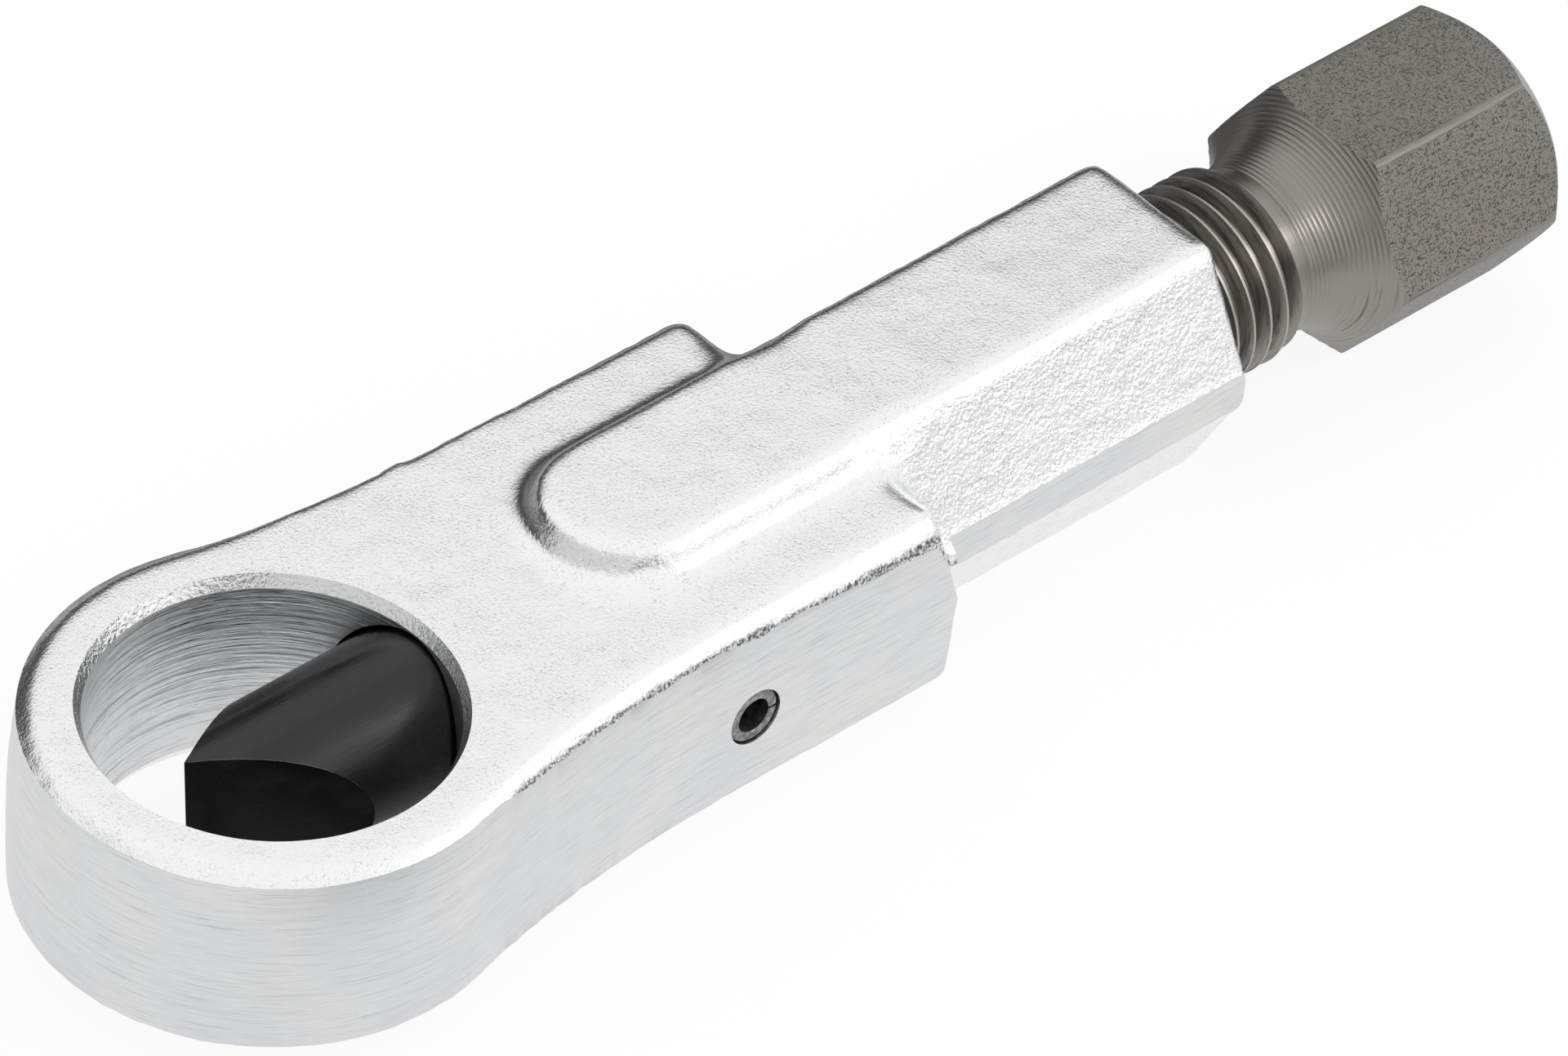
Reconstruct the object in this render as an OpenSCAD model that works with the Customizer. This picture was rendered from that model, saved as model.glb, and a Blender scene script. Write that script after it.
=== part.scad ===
// Nut splitter: a forged body with an eye, a wedge chisel, a drive spindle and a spring pin.
// X runs along the tool towards the drive hexagon, Z is up, and the origin is the middle of the eye.

/* [Eye] */
// Bore of the eye, which takes the nut
eye_bore_d = 23.7; // [22:0.1:25]
// Outer diameter of the eye
eye_outer_d = 32.6; // [32:0.1:35]
// Width of the steep chamfer round each mouth of the bore
eye_chamfer_w = 0.5; // [0.2:0.1:0.8]
// Depth of that chamfer along the bore
eye_chamfer_h = 0.85; // [0.4:0.05:1.5]

/* [Plate] */
// Thickness of the plate and of the eye
plate_t = 14.5; // [13:0.1:16]
// Width of the straight part of the plate, across its ground sides
plate_w = 26.3; // [25:0.1:27.5]
// Radius of the hollow flanks that lead from the eye to the straight part
flank_r = 100; // [80:1:110]
// Radius of the rounded edges of the forging
edge_r = 1.1; // [0.6:0.1:1.6]
// How far the ground sides lean in from mid height to their upper edge
upper_crown = 0.55; // [0.1:0.05:0.8]
// How far they lean in from mid height to their lower edge
lower_crown = 0.15; // [0.1:0.05:0.8]
// Place of the shoulder where the plate ends, at its upper edge
shoulder_x = 45.5; // [43:0.1:47]
// Plan radius of the shoulder's corners
shoulder_r = 2.5; // [1.5:0.1:4]
// How far the shoulder's wall leans out from its upper edge to mid height
upper_draft = 1.7; // [0.5:0.1:3]
// How far it leans back in from mid height to its lower edge
lower_draft = 0.5; // [0.2:0.1:3]

/* [Shank] */
// Height across the shank's upper and lower flats
shank_h = 18.5; // [17.5:0.1:19.5]
// Width of those flats
shank_flat_w = 11; // [10:0.1:12]
// Width across the trimmed parting line
shank_w = 19.6; // [19:0.1:20.5]
// Height of the trimmed band along the parting line
band_h = 2.4; // [1:0.1:3.5]
// Place of the shank's rear end
shank_end_x = 75.4; // [70:0.1:80]
// Rounding of the edges of the shank's rear end
shank_end_r = 0.9; // [0.4:0.1:1.4]
// Centre of the rounded nose where the shank's flats run out over the plate
nose_x = 29.1; // [27:0.1:33]
// Radius of the hollow fillet at the foot of the nose and of the raised flats
foot_r = 1.8; // [1:0.1:2]

/* [Thread] */
// Diameter over the crests of the spindle's thread
thread_d = 13.8; // [13.6:0.1:14.2]
// Pitch of the thread
thread_pitch = 1.5; // [1.25:0.25:1.75]
// Running clearance of the thread, on radius
thread_gap = 0.05; // [0.02:0.01:0.1]
// Drill for the thread's core, which also guides the chisel
core_d = 12.5; // [12.2:0.1:12.6]
// Where the tapped part of the bore begins
tapped_x = 36; // [35:0.1:37]

/* [Chisel] */
// Place of the cutting edge at rest
chisel_tip_x = -6.7; // [-8:0.1:-5]
// Place of the chisel's rear end at rest
chisel_rear_x = 40; // [39:0.1:41]
// Angle of each ground flank from the tool's axis
flank_angle = 30; // [27:0.5:34]
// Lean of the ground edge from upright
edge_lean = 4; // [0:0.5:6]
// Clearance between the chisel and its drilled guide, on radius
chisel_gap = 0.3; // [0.15:0.05:0.35]
// Travel towards the eye's front wall
travel_in = 4.8; // [4:0.1:4.9]
// Travel back from rest
travel_out = 15; // [12:0.5:16]

/* [Spring pin] */
// Diameter of the spring pin
pin_d = 4; // [3.5:0.1:4.5]
// Length of the spring pin
pin_len = 10; // [9:0.5:10.5]
// Wall of the spring pin
pin_wall = 0.75; // [0.5:0.05:0.9]
// Width of the pin's slot
pin_slot = 0.7; // [0.4:0.1:1]
// Place of the pin along the tool
pin_x = 29.1; // [28.5:0.1:30.5]
// How far the pin lies below the tool's axis
pin_drop = 0.7; // [0:0.1:1.2]
// How far the pin is driven below the ground side
pin_sink = 0.15; // [0:0.05:0.4]
// Clearance between the pin and each wall of the keyway
keyway_gap = 0.3; // [0.2:0.05:0.5]

/* [Spindle] */
// Width across the flats of the drive hexagon
hex_af = 17; // [16.5:0.1:18]
// Turn of the hexagon's first corner from upright towards the pin's side
hex_turn = 33.5; // [0:0.5:59]
// Where the corners of the hexagon begin
hex_front_x = 90.2; // [89:0.1:93]
// End face of the spindle
spindle_end_x = 105.3; // [102:0.1:110]
// Angle of the end chamfer from the end face
hex_chamfer_angle = 45; // [20:1:50]
// Width of the end chamfer
hex_chamfer_w = 1.6; // [1.2:0.05:2]
// Diameter of the turned neck behind the thread
neck_d = 12.1; // [11.5:0.1:12.5]
// Where the hollow flare of the neck begins
neck_x = 84.6; // [84:0.1:85.5]
// Where the full thread ends
thread_end_x = 82.8; // [82:0.1:83.5]
// Length of the pilot in front of the thread
pilot_len = 6; // [5:0.5:7]
// How far the pilot lies below the chisel's own diameter, on radius
pilot_relief = 0.1; // [0.05:0.05:0.3]
// Gap between the spindle's pilot and the chisel's rear end
thrust_gap = 0.05; // [0.02:0.01:0.1]

/* [Hidden] */
$fn = 96;
// A cut reaches this far past the surface that it opens
over = 1;
// The foot's fillet ends this far below the plate's face, so that it crosses that face
foot_sink = 0.1;
// Chords in a quarter of a rounded edge, in the height of a side, round the eye, along a flank,
// round a corner of the shoulder, in the foot's fillet and in the neck's flare
edge_steps = 3;
side_steps = 4;
eye_steps = 48;
flank_steps = 8;
corner_steps = 5;
foot_steps = 4;
flare_steps = 10;

eye_r = eye_outer_d / 2;
half_t = plate_t / 2;
half_w = plate_w / 2;
// Height up to which a side is not yet rounded over
side_h = half_t - edge_r;
// Centre of a flank's hollow arc, which touches the eye's circle and the plate's straight side
flank_y = half_w + flank_r;
flank_x = sqrt(pow(eye_r + flank_r, 2) - pow(flank_y, 2));
flank_turn = atan2(flank_y, flank_x);
// Where the shoulder's corners begin
corner_x = shoulder_x - shoulder_r;
corner_y = half_w - shoulder_r;

core_r = core_d / 2;
tapped_r = thread_d / 2 + thread_gap;
tap_lead = 2 * thread_pitch;
chisel_r = core_r - chisel_gap;
pin_r = pin_d / 2;
pin_hole_gap = 0.01;
pin_outer_y = -half_w + pin_sink;
pin_inner_y = pin_outer_y + pin_len;
keyway_floor_y = pin_inner_y + keyway_gap;
keyway_w = pin_d + 2 * keyway_gap;
break_edge = 0.8;

hex_corner_r = hex_af / 2 / cos(30);
pilot_x = chisel_rear_x + thrust_gap;
pilot_r = chisel_r - pilot_relief;
thread_front_x = pilot_x + pilot_len;
flare_rise = hex_corner_r - neck_d / 2;
flare_run = hex_front_x - neck_x;
flare_r = (pow(flare_rise, 2) + pow(flare_run, 2)) / (2 * flare_rise);
// The flare and the end chamfer are cut past the hexagon's corners
flare_sweep = acos(1 - (flare_rise + over / 4) / flare_r);

// Edge of the forging, seen in section: [distance in from the widest line, height], from bottom to top.
// It leans in by lower and upper at its two ends, along a curve of the given power.
function edge_section(lower, upper, power) = concat(
    [for (i = [0 : edge_steps - 1]) let (a = 90 - 90 * i / edge_steps)
        [lower + edge_r * (1 - cos(a)), -side_h - edge_r * sin(a)]],
    [for (i = [0 : side_steps]) let (rise = 2 * i / side_steps - 1)
        [(rise < 0 ? lower : upper) * pow(abs(rise), power), side_h * rise]],
    [for (i = [1 : edge_steps]) let (a = 90 * i / edge_steps)
        [upper + edge_r * (1 - cos(a)), side_h + edge_r * sin(a)]]);

side_section = edge_section(lower_crown, upper_crown, 2);
end_section = edge_section(lower_draft, upper_draft, 1);

function reversed(points) = [for (i = [len(points) - 1 : -1 : 0]) points[i]];

// Lean of the shank's sloping sides from upright, and their distance from the tool's axis
slope_turn = atan2(shank_w - shank_flat_w, shank_h - band_h);
slope_d = (shank_flat_w * cos(slope_turn) + shank_h * sin(slope_turn)) / 2;

// Centre of the foot's fillet, which touches the shank's slope
foot_h = half_t - foot_sink + foot_r;
foot_w = shank_flat_w / 2 + (shank_h / 2 - foot_h) * tan(slope_turn) + foot_r / cos(slope_turn);
// Fillet from the plate's face up the slope, and half of the boss's section: [half width, height]
foot_arc = [for (i = [0 : foot_steps]) let (a = 270 - (90 - slope_turn) * i / foot_steps)
    [foot_w + foot_r * cos(a), foot_h + foot_r * sin(a)]];
boss_top = concat(foot_arc, [[shank_flat_w / 2, shank_h / 2]]);
boss_half = concat([for (p = reversed(boss_top)) [p[0], -p[1]]], boss_top);
// The boss runs as far as the shoulder's rounded edge, where the shank begins
boss_end_x = shoulder_x - edge_r;

// Straight bar along X, from one place to another
module round_x(from, to, r1, r2) {
    translate([from, 0, 0]) rotate([0, 90, 0]) cylinder(h = to - from, r1 = r1, r2 = r2);
}

// Level of the plate's outline: the ground side lies side_in within the widest line, and the shoulder end_in
function plate_outline(side_in, end_in) = let (
    eye = [for (k = [0 : eye_steps]) let (a = flank_turn + (360 - 2 * flank_turn) * k / eye_steps)
        (eye_r - side_in) * [cos(a), sin(a)]],
    flank = [for (k = [1 : flank_steps]) let (a = 180 - flank_turn + (flank_turn - 90) * k / flank_steps)
        [flank_x, -flank_y] + (flank_r + side_in) * [cos(a), sin(a)]],
    corner_d = shoulder_r + upper_draft - end_in,
    corner_turn = asin((half_w - side_in - corner_y) / corner_d),
    corner = [for (k = [0 : corner_steps]) let (a = corner_turn * (k / corner_steps - 1))
        [corner_x, -corner_y] + corner_d * [cos(a), sin(a)]],
    lower = concat(flank, corner))
    concat(eye, lower, [for (p = reversed(lower)) [p[0], -p[1]]]);

// Eye, hollow flanks, straight plate and drafted shoulder, as one loft over the levels of the forging's edge
module plate() {
    levels = [for (i = [0 : len(side_section) - 1])
        [for (p = plate_outline(side_section[i][0], end_section[i][0])) [p[0], p[1], side_section[i][1]]]];
    count = len(levels[0]);
    last = len(levels) - 1;
    polyhedron(
        points = [for (level = levels) each level],
        faces = concat(
            [[for (k = [0 : count - 1]) k]],
            [for (i = [0 : last - 1], k = [0 : count - 1]) let (next = (k + 1) % count)
                [(i + 1) * count + k, (i + 1) * count + next, i * count + next, i * count + k]],
            [[for (k = [count - 1 : -1 : 0]) last * count + k]]),
        convexity = 4);
}

// Bar between two parallel flats, with rounded edges at its rear end
module flat_bar(half_h) {
    rotate([90, 0, 0]) linear_extrude(2 * shank_w, center = true)
        polygon(concat(
            [[boss_end_x, -half_h]],
            [for (i = [0 : edge_steps]) let (a = 90 * i / edge_steps)
                [shank_end_x - shank_end_r * (1 - sin(a)), -half_h + shank_end_r * (1 - cos(a))]],
            [for (i = [edge_steps : -1 : 0]) let (a = 90 * i / edge_steps)
                [shank_end_x - shank_end_r * (1 - sin(a)), half_h - shank_end_r * (1 - cos(a))]],
            [[boss_end_x, half_h]]));
}

// Six-sided shank, trimmed along its parting line
module shank() {
    intersection() {
        flat_bar(shank_h / 2);
        rotate([90, 0, 0]) flat_bar(shank_w / 2);
        rotate([90 - slope_turn, 0, 0]) flat_bar(slope_d);
        rotate([slope_turn - 90, 0, 0]) flat_bar(slope_d);
    }
}

// Boss over and under the plate, with its rounded nose and the hollow fillet at its foot
module boss() {
    translate([nose_x, 0, 0]) rotate([90, 0, 90]) linear_extrude(boss_end_x - nose_x)
        polygon(concat(boss_half, [for (p = reversed(boss_half)) [-p[0], p[1]]]));
    translate([nose_x, 0, 0]) rotate([0, 0, 90]) rotate_extrude(angle = 180)
        polygon(concat([[0, -shank_h / 2]], boss_half, [[0, shank_h / 2]]));
}

// Bore of the eye with a chamfer at both mouths
module eye_bore() {
    bore_r = eye_bore_d / 2;
    mouth_r = bore_r + eye_chamfer_w;
    rotate_extrude()
        polygon([
            [0, -half_t - over], [mouth_r, -half_t - over], [mouth_r, -half_t],
            [bore_r, -half_t + eye_chamfer_h], [bore_r, half_t - eye_chamfer_h],
            [mouth_r, half_t], [mouth_r, half_t + over], [0, half_t + over]]);
}

// Drilling from the shank's rear end into the eye, tapped as far as the spindle reaches
module spindle_bore() {
    round_x(0, tapped_x + over, core_r, core_r);
    round_x(tapped_x - tap_lead, tapped_x, core_r, tapped_r);
    round_x(tapped_x, shank_end_x + over, tapped_r, tapped_r);
}

module pin_hole() {
    translate([pin_x, 0, -pin_drop]) rotate([90, 0, 0])
        cylinder(h = half_w + over, r = pin_r + pin_hole_gap);
}

module forged_body() {
    color("gainsboro") difference() {
        union() {
            plate();
            shank();
            boss();
        }
        eye_bore();
        spindle_bore();
        pin_hole();
    }
}

module chisel() {
    wedge_w = chisel_r + over;
    wedge_x = chisel_tip_x + wedge_w / tan(flank_angle);
    keyway_front = pin_x - travel_out;
    keyway_rear = pin_x + travel_in;
    color("#1d1d1d") difference() {
        intersection() {
            union() {
                round_x(chisel_tip_x, chisel_rear_x - break_edge, chisel_r, chisel_r);
                round_x(chisel_rear_x - break_edge, chisel_rear_x, chisel_r, chisel_r - break_edge);
            }
            rotate([-edge_lean, 0, 0]) linear_extrude(4 * wedge_w, center = true)
                polygon([
                    [chisel_tip_x, 0], [wedge_x, -wedge_w], [chisel_rear_x + over, -wedge_w],
                    [chisel_rear_x + over, wedge_w], [wedge_x, wedge_w]]);
        }
        translate([0, keyway_floor_y, -pin_drop]) rotate([90, 0, 0]) linear_extrude(chisel_r) union() {
            for (x = [keyway_front, keyway_rear]) translate([x, 0]) circle(d = keyway_w);
            translate([keyway_front, -keyway_w / 2]) square([keyway_rear - keyway_front, keyway_w]);
        }
    }
}

// The spindle is a hexagonal bar, turned down to its pilot, thread, hollow neck and chamfered end
module spindle() {
    thread_r = thread_d / 2;
    chamfer_run = (hex_chamfer_w + over) * tan(hex_chamfer_angle);
    profile = concat(
        [[pilot_x, 0], [pilot_x, pilot_r - break_edge], [pilot_x + break_edge, pilot_r],
         [thread_front_x, pilot_r], [thread_front_x + thread_r - pilot_r, thread_r],
         [thread_end_x, thread_r]],
        [for (i = [0 : flare_steps]) let (a = flare_sweep * i / flare_steps)
            [neck_x + flare_r * sin(a), neck_d / 2 + flare_r * (1 - cos(a))]],
        [[neck_x + flare_r, hex_corner_r + over], [spindle_end_x - chamfer_run, hex_corner_r + over],
         [spindle_end_x, hex_corner_r - hex_chamfer_w], [spindle_end_x, 0]]);
    color("dimgray") intersection() {
        rotate([0, 90, 0]) rotate_extrude() polygon([for (p = profile) [p[1], p[0]]]);
        translate([pilot_x - over, 0, 0]) rotate([hex_turn, 0, 0]) rotate([0, 90, 0])
            cylinder(h = spindle_end_x - pilot_x + 2 * over, r = hex_corner_r, $fn = 6);
    }
}

module spring_pin() {
    pin_bore_r = pin_r - pin_wall;
    end_chamfer = pin_wall / 2;
    color("#5c5c5c") translate([pin_x, pin_inner_y, -pin_drop]) rotate([90, 0, 0]) difference() {
        rotate_extrude()
            polygon([
                [pin_bore_r, 0], [pin_r - end_chamfer, 0], [pin_r, 2 * end_chamfer],
                [pin_r, pin_len - 2 * end_chamfer], [pin_r - end_chamfer, pin_len], [pin_bore_r, pin_len]]);
        translate([0, -pin_slot / 2, -over]) cube([pin_d, pin_slot, pin_len + 2 * over]);
    }
}

forged_body();
chisel();
spindle();
spring_pin();
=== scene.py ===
"""Nut splitter: a zinc-plated forging with an eye, a black chisel, a spring pin and a threaded spindle."""

import math

import bpy
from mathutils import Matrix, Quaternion, Vector


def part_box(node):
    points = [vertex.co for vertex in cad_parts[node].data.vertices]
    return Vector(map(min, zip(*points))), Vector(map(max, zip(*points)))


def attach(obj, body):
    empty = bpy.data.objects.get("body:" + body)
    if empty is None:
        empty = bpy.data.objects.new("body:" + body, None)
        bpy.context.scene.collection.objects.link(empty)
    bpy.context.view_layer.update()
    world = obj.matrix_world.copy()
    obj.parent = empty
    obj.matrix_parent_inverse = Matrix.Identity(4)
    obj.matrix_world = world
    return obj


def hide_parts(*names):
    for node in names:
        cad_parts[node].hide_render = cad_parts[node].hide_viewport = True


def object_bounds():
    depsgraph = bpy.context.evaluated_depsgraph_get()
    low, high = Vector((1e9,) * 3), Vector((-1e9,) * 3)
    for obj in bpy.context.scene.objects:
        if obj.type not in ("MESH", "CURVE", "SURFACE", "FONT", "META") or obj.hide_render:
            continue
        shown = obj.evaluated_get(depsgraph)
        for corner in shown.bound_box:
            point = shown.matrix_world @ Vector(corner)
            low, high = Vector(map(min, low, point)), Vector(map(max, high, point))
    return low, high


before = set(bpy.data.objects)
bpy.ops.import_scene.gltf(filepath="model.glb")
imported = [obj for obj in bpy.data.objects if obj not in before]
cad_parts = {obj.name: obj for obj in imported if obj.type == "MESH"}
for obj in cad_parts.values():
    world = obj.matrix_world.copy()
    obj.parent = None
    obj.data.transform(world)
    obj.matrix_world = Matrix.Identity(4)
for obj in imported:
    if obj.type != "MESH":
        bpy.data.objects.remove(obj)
cad_low, cad_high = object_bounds()

# Forged body: finishes
# Steel, drop forged and shot blasted, then bright zinc plated all over. The skin keeps its flaky grain. The
# sides are belt ground, the eye is bored, and both show lines from their tools through the plating.
MM = 0.001
ZINC_SKIN = (0.9, 0.905, 0.905, 1)
ZINC_FLAKE = (0.56, 0.57, 0.58, 1)
ZINC_PAINTED_SHADE = (0.16, 0.165, 0.175, 1)
ZINC_GROUND = (0.70, 0.715, 0.745, 1)
ZINC_GROUND_TINT = (0.745, 0.745, 0.73, 1)
ZINC_GROUND_LINE = (0.52, 0.53, 0.555, 1)
ZINC_BORED = (0.72, 0.73, 0.74, 1)
ZINC_BORED_LINE = (0.33, 0.34, 0.35, 1)
LINE_SOFTNESS = 0.16
FLECK_SOFTNESS = 0.07
FLECK_STRETCHES = ((2.4, 10.0, 6.5), (10.0, 2.6, 7.5), (7.0, 8.5, 2.5))
SKIN_ROUGHNESS = 0.24
SKIN_FLECKS = 0.37
PEEL_DEPTH = 0.1 * MM
FINE_DEPTH = 0.028 * MM
# Where the painted shade and the peel begin and where they are full: places in millimetres, and parts of the
# unit normal
SHADE_Z = (7.1, 6.7)
SHADE_FACING_X = (0.7, 0.4)
SHADE_TILT = (0.58, 0.45)
SHADE_FREE_X = (44.0, 46.5)
SHADE_FREE_TILT = 0.24
PEEL_TILT = (0.85, 0.6)
PEEL_X = (40.0, 52.0)
PEEL_ON_PLATE = 0.6
PEEL_ON_FLATS = 0.06


def add_node(tree, kind, inputs=None, **settings):
    """A node with these settings, whose inputs are sockets to link or plain values."""
    made = tree.nodes.new(kind)
    for name, value in settings.items():
        setattr(made, name, value)
    for name, value in (inputs or {}).items():
        if isinstance(value, bpy.types.NodeSocket):
            tree.links.new(value, made.inputs[name])
        else:
            made.inputs[name].default_value = value
    return made


def effect_group(name, inputs, outputs):
    """An empty shader group: its tree, its input sockets and its output node."""
    group = bpy.data.node_groups.new(name, "ShaderNodeTree")
    for label, kind, value in inputs:
        socket = group.interface.new_socket(label, in_out="INPUT", socket_type=kind)
        if value is not None:
            socket.default_value = value
    for label, kind in outputs:
        group.interface.new_socket(label, in_out="OUTPUT", socket_type=kind)
    entry = group.nodes.new("NodeGroupInput")
    return group, entry.outputs, group.nodes.new("NodeGroupOutput")


def stretched_noise(tree, vector, stretch, detail=3.0, roughness=0.5):
    """Noise over coordinates in millimetres, with so many features per millimetre along X, Y and Z."""
    scaled = add_node(tree, "ShaderNodeVectorMath", {0: vector, 1: stretch}, operation="MULTIPLY")
    noise = add_node(tree, "ShaderNodeTexNoise", {
        "Vector": scaled.outputs[0], "Scale": 1.0, "Detail": detail, "Roughness": roughness})
    return noise.outputs["Fac"]


def steps_between(tree, value, low, high, to_low=0.0, to_high=1.0):
    """Maps a value from one range to another, held at both ends."""
    mapped = add_node(tree, "ShaderNodeMapRange", {
        "Value": value, "From Min": low, "From Max": high, "To Min": to_low, "To Max": to_high})
    return mapped.outputs["Result"]


def combine(tree, operation, first, second):
    """One Math node on two values."""
    made = add_node(tree, "ShaderNodeMath", {0: first, 1: second}, operation=operation)
    return made.outputs[0]


def tool_line_group():
    """Fine lines left by a belt or a lathe tool, across the direction with the most features."""
    group, entry, exit_node = effect_group(
        "tool_lines",
        [("Position", "NodeSocketVector", None), ("Stretch", "NodeSocketVector", (0.1, 0.1, 5.0)),
         ("Cover", "NodeSocketFloat", 0.5)],
        [("Lines", "NodeSocketFloat"), ("Height", "NodeSocketFloat")])
    fine = stretched_noise(group, entry["Position"], entry["Stretch"], detail=4.0, roughness=0.65)
    edge = combine(group, "SUBTRACT", 1.0, entry["Cover"])
    top = combine(group, "ADD", edge, LINE_SOFTNESS)
    lines = add_node(group, "ShaderNodeMapRange", {"Value": fine, "From Min": edge, "From Max": top})
    group.links.new(lines.outputs["Result"], exit_node.inputs["Lines"])
    group.links.new(fine, exit_node.inputs["Height"])
    return group


def fleck_group():
    """Short dark strokes that lie every which way, as on shot-blasted or scaled steel."""
    group, entry, exit_node = effect_group(
        "flecks",
        [("Position", "NodeSocketVector", None), ("Cover", "NodeSocketFloat", 0.36)],
        [("Flecks", "NodeSocketFloat"), ("Height", "NodeSocketFloat")])
    strokes = None
    for stretch in FLECK_STRETCHES:
        noise = stretched_noise(group, entry["Position"], stretch, detail=2.0)
        strokes = noise if strokes is None else combine(group, "MINIMUM", strokes, noise)
    low = combine(group, "SUBTRACT", entry["Cover"], FLECK_SOFTNESS)
    flecks = add_node(group, "ShaderNodeMapRange", {
        "Value": strokes, "From Min": low, "From Max": entry["Cover"], "To Min": 1.0, "To Max": 0.0})
    group.links.new(flecks.outputs["Result"], exit_node.inputs["Flecks"])
    group.links.new(strokes, exit_node.inputs["Height"])
    return group


tool_lines = tool_line_group()
flecks = fleck_group()


def new_material(name, roughness, metallic=1.0):
    """A metal with its tree, its shader and its object coordinates in millimetres."""
    material = bpy.data.materials.new(name)
    material.use_nodes = True
    tree = material.node_tree
    shader = tree.nodes["Principled BSDF"]
    shader.inputs["Metallic"].default_value = metallic
    shader.inputs["Roughness"].default_value = roughness
    place = add_node(tree, "ShaderNodeTexCoord")
    scaled = add_node(
        tree, "ShaderNodeVectorMath", {0: place.outputs["Object"], "Scale": 1 / MM}, operation="SCALE")
    return material, tree, shader, scaled.outputs[0]


def blend_colours(tree, factor, first, second):
    """Colour that goes from the first to the second as the factor goes from 0 to 1."""
    mix = add_node(tree, "ShaderNodeMix", {0: factor, 6: first, 7: second}, data_type="RGBA")
    return mix.outputs[2]


def add_bump(tree, shader, height, depth, under=None):
    """Bump of a height that runs from 0 to 1 over this depth, on top of an earlier one."""
    bump = add_node(tree, "ShaderNodeBump", {"Height": height, "Distance": depth, "Strength": 1.0})
    if under is not None:
        tree.links.new(under, bump.inputs["Normal"])
    tree.links.new(bump.outputs["Normal"], shader.inputs["Normal"])
    return bump.outputs["Normal"]


def zinc_skin(name, shade_colour):
    """Forged skin: pale and flaky, coarser on the shank's sloping sides, with painted shade speckled on the
    steep edges low down.
    """
    material, tree, shader, position = new_material(name, SKIN_ROUGHNESS)
    speck = add_node(tree, "ShaderNodeGroup", {"Position": position, "Cover": SKIN_FLECKS}, node_tree=flecks)
    broad = stretched_noise(tree, position, (0.5, 0.5, 0.5), detail=4.0)
    patch = steps_between(tree, broad, 0.4, 0.62, 0.25, 1.0)
    flake = combine(tree, "MULTIPLY", speck.outputs["Flecks"], patch)
    colour = blend_colours(tree, flake, ZINC_SKIN, ZINC_FLAKE)
    geometry = add_node(tree, "ShaderNodeNewGeometry")
    facing = add_node(tree, "ShaderNodeSeparateXYZ", {0: geometry.outputs["Normal"]})
    along = add_node(tree, "ShaderNodeSeparateXYZ", {0: position})
    level = combine(tree, "ABSOLUTE", facing.outputs["Z"], 0.0)
    # Painted shade: dark speckles mixed into the skin colour on the steep faces low down, with less of it
    # where the shank begins; the mask called scale carries it.
    low_down = steps_between(tree, combine(tree, "ABSOLUTE", along.outputs["Z"], 0.0), *SHADE_Z)
    sideways = combine(tree, "MULTIPLY", low_down, steps_between(tree, facing.outputs["X"], *SHADE_FACING_X))
    free = steps_between(tree, along.outputs["X"], *SHADE_FREE_X, 0.0, SHADE_FREE_TILT)
    tilt = combine(tree, "ADD", level, free)
    steep = combine(tree, "MULTIPLY", steps_between(tree, tilt, *SHADE_TILT), sideways)
    shade_speckle = steps_between(tree, stretched_noise(tree, position, (5.0, 5.0, 5.0), detail=4.0), 0.6, 0.4)
    scale = combine(tree, "MULTIPLY", steep, shade_speckle)
    tree.links.new(blend_colours(tree, scale, colour, shade_colour), shader.inputs["Base Color"])
    rearward = steps_between(tree, along.outputs["X"], *PEEL_X, PEEL_ON_PLATE, 1.0)
    sloping = combine(tree, "MULTIPLY", steps_between(tree, level, *PEEL_TILT), rearward)
    peel = stretched_noise(tree, position, (3.4, 3.4, 3.4), detail=3.0)
    fine = stretched_noise(tree, position, (5.0, 5.0, 5.0), detail=3.0)
    peel_height = combine(tree, "MULTIPLY", peel, combine(tree, "ADD", sloping, PEEL_ON_FLATS))
    first = add_bump(tree, shader, peel_height, PEEL_DEPTH)
    add_bump(tree, shader, fine, FINE_DEPTH, under=first)
    return material


def draw_tool_lines(tree, shader, position, colour, line_colour, stretch, cover, depth):
    """Gives a shader a colour and a relief with the lines of a tool in them."""
    lines = add_node(
        tree, "ShaderNodeGroup", {"Position": position, "Stretch": stretch, "Cover": cover},
        node_tree=tool_lines)
    lined = blend_colours(tree, lines.outputs["Lines"], colour, line_colour)
    tree.links.new(lined, shader.inputs["Base Color"])
    add_bump(tree, shader, lines.outputs["Height"], depth)


def zinc_lined(name, colour, tint, line_colour, stretch, cover, depth, roughness):
    """Plated steel with the lines of a tool in it, and a slight bloom of another tint."""
    material, tree, shader, position = new_material(name, roughness)
    bloom = steps_between(tree, stretched_noise(tree, position, (0.12, 0.12, 0.12)), 0.4, 0.62)
    plating = blend_colours(tree, bloom, colour, tint)
    draw_tool_lines(tree, shader, position, plating, line_colour, stretch, cover, depth)
    return material


zinc_forged = zinc_skin("zinc_skin", ZINC_PAINTED_SHADE)
zinc_chamfer = zinc_skin("zinc_chamfer", ZINC_SKIN)
zinc_ground = zinc_lined(
    "zinc_ground", ZINC_GROUND, ZINC_GROUND_TINT, ZINC_GROUND_LINE,
    stretch=(0.28, 0.28, 16.0), cover=0.48, depth=0.012 * MM, roughness=0.34)
zinc_bored = zinc_lined(
    "zinc_bored", ZINC_BORED, ZINC_GROUND, ZINC_BORED_LINE,
    stretch=(0.1, 0.1, 3.6), cover=0.48, depth=0.09 * MM, roughness=0.3)

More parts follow.
